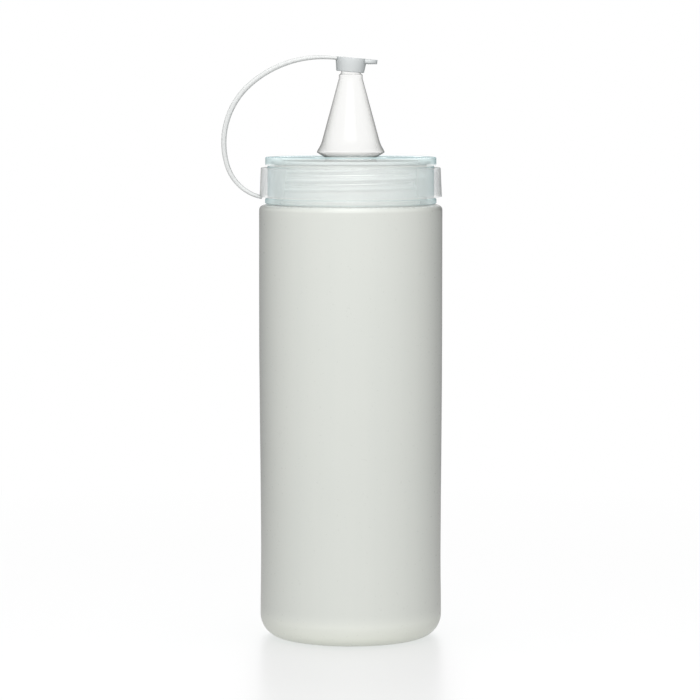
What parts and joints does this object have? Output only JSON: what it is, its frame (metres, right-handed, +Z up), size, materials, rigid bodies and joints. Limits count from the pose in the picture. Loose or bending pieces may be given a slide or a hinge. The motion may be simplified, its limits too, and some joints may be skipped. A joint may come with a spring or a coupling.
{
  "type": "squeeze sauce bottle with tethered tip cap",
  "caption": "Milky plastic squeeze bottle with a wide screw lid, a clear cone nozzle and a tip cap on a curved strap tied to a turning ring.",
  "frame": {"origin": "centre of the bottle's foot, in the plane that it rests on", "axes": "+Z up along the bottle's axis, +X towards the tip cap's pull tab, with the strap on the -X side"},
  "size_m": [0.0867, 0.072, 0.2296],
  "materials": {
    "milky_polyethylene": "satin, translucent natural polyethylene",
    "seal_foam": "matte foamed polyethylene",
    "clear_lid_plastic": "glossy, see-through, faint blue tint",
    "clear_nozzle_plastic": "glossy, see-through, neutral",
    "tether_plastic": "satin, see-through, neutral",
    "tip_cap_plastic": "satin, see-through, faint blue-grey"
  },
  "bodies": {
    "bottle": {"bottle_body": "milky_polyethylene"},
    "seal": {"seal_washer": "seal_foam"},
    "lid": {"screw_lid": "clear_lid_plastic", "nozzle": "clear_nozzle_plastic"},
    "tether": {"tether_ring": "tether_plastic", "tether_strap_lower": "tether_plastic"},
    "strap": {"tether_strap_middle": "tether_plastic"},
    "cap": {"tether_strap_upper": "tether_plastic", "tip_cap": "tip_cap_plastic"}
  },
  "joints": [
    {"name": "lid_rise", "type": "slide", "parent": "bottle", "child": "seal", "axis": [0, 0, 1], "range_m": [0, 0.0175]},
    {"name": "lid_turn", "type": "hinge", "parent": "seal", "child": "lid", "pos_m": [0, 0, 0.18], "axis": [0, 0, 1], "range_deg": [0, 1800]},
    {"name": "ring_turn", "type": "hinge", "parent": "lid", "child": "tether", "pos_m": [0, 0, 0.18], "axis": [0, 0, 1], "continuous": true},
    {"name": "strap_bend", "type": "hinge", "parent": "tether", "child": "strap", "pos_m": [-0.04958, 0, 0.19951], "axis": [0, -1, 0], "range_deg": [0, 30]},
    {"name": "cap_swing", "type": "hinge", "parent": "strap", "child": "cap", "pos_m": [-0.03707, 0, 0.22016], "axis": [0, -1, 0], "range_deg": [0, 40]}
  ],
  "couplings": [
    {"joint": "lid_rise", "follows": "lid_turn", "m_per_rad": 0.00055704},
    {"joint": "cap_swing", "follows": "strap_bend", "ratio": 1.3333}
  ]
}
